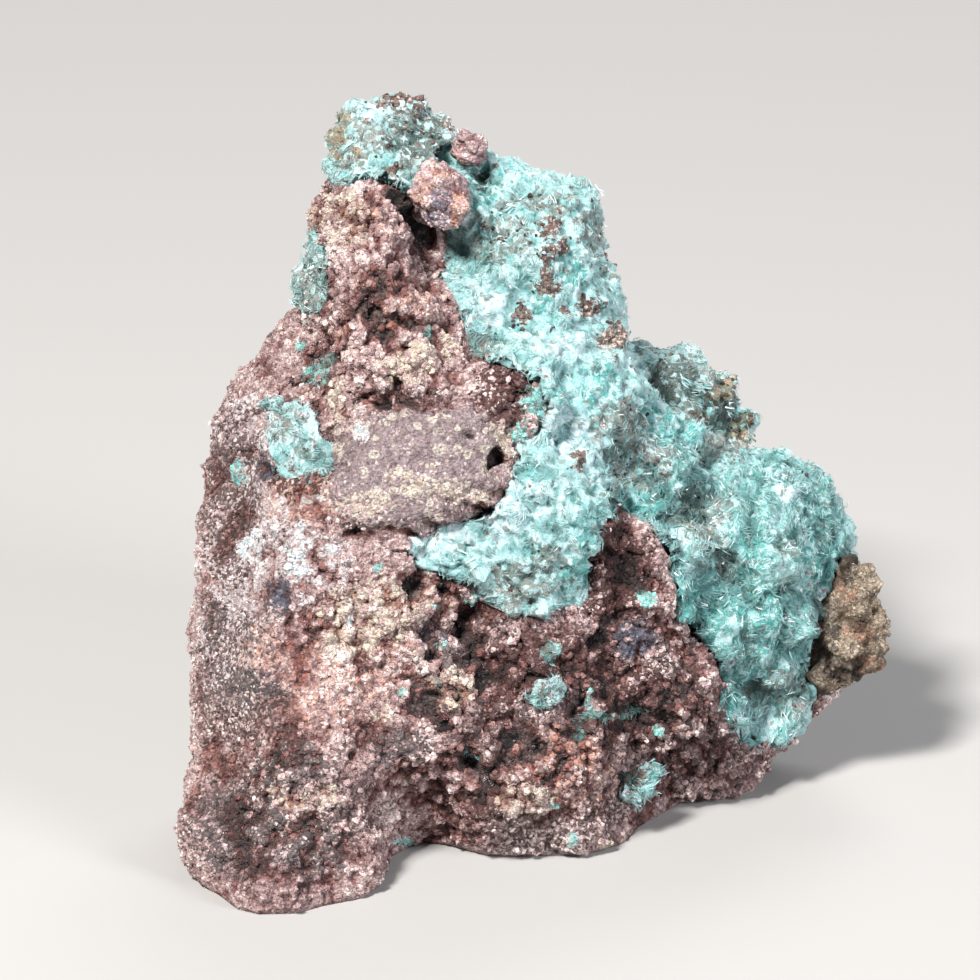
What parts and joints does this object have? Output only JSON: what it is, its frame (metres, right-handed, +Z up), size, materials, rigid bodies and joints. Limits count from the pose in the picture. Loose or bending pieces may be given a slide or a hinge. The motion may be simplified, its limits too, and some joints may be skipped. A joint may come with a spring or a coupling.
{
  "type": "aurichalcite specimen",
  "caption": "Granular red-brown gossan block with a flat base, crusted down one side with blue-green aurichalcite, carrying small nodules and a lobe behind.",
  "frame": {"origin": "on the flat base, under the middle of the specimen from left to right", "axes": "+Z up, -Y towards the display side that carries the crust, +X towards the lobe that hangs out to the right"},
  "size_m": [0.0494, 0.0397, 0.0471],
  "materials": {
    "gossan": "rough granular red-brown iron oxide rock with paler and cream grains, dark pits and grey stains",
    "aurichalcite": "fine blue-green to whitish blades and fibres with a pearly glint",
    "nodule": "purple-brown to orange limonite with a dull sheen",
    "ochre": "earthy tan to ochre, matt and pitted",
    "druse": "grey-green sparkling druse with tan lumps"
  },
  "bodies": {
    "root": {"gossan_matrix": "gossan", "aurichalcite_crust": "aurichalcite", "left_aurichalcite_patch": "aurichalcite", "column_aurichalcite_patch": "aurichalcite", "summit_nodule": "nodule", "crest_nodule": "nodule", "ochre_knob": "ochre", "rear_druse_lobe": "druse", "upper_aurichalcite_fan": "aurichalcite", "lower_aurichalcite_fan": "aurichalcite"}
  },
  "joints": []
}
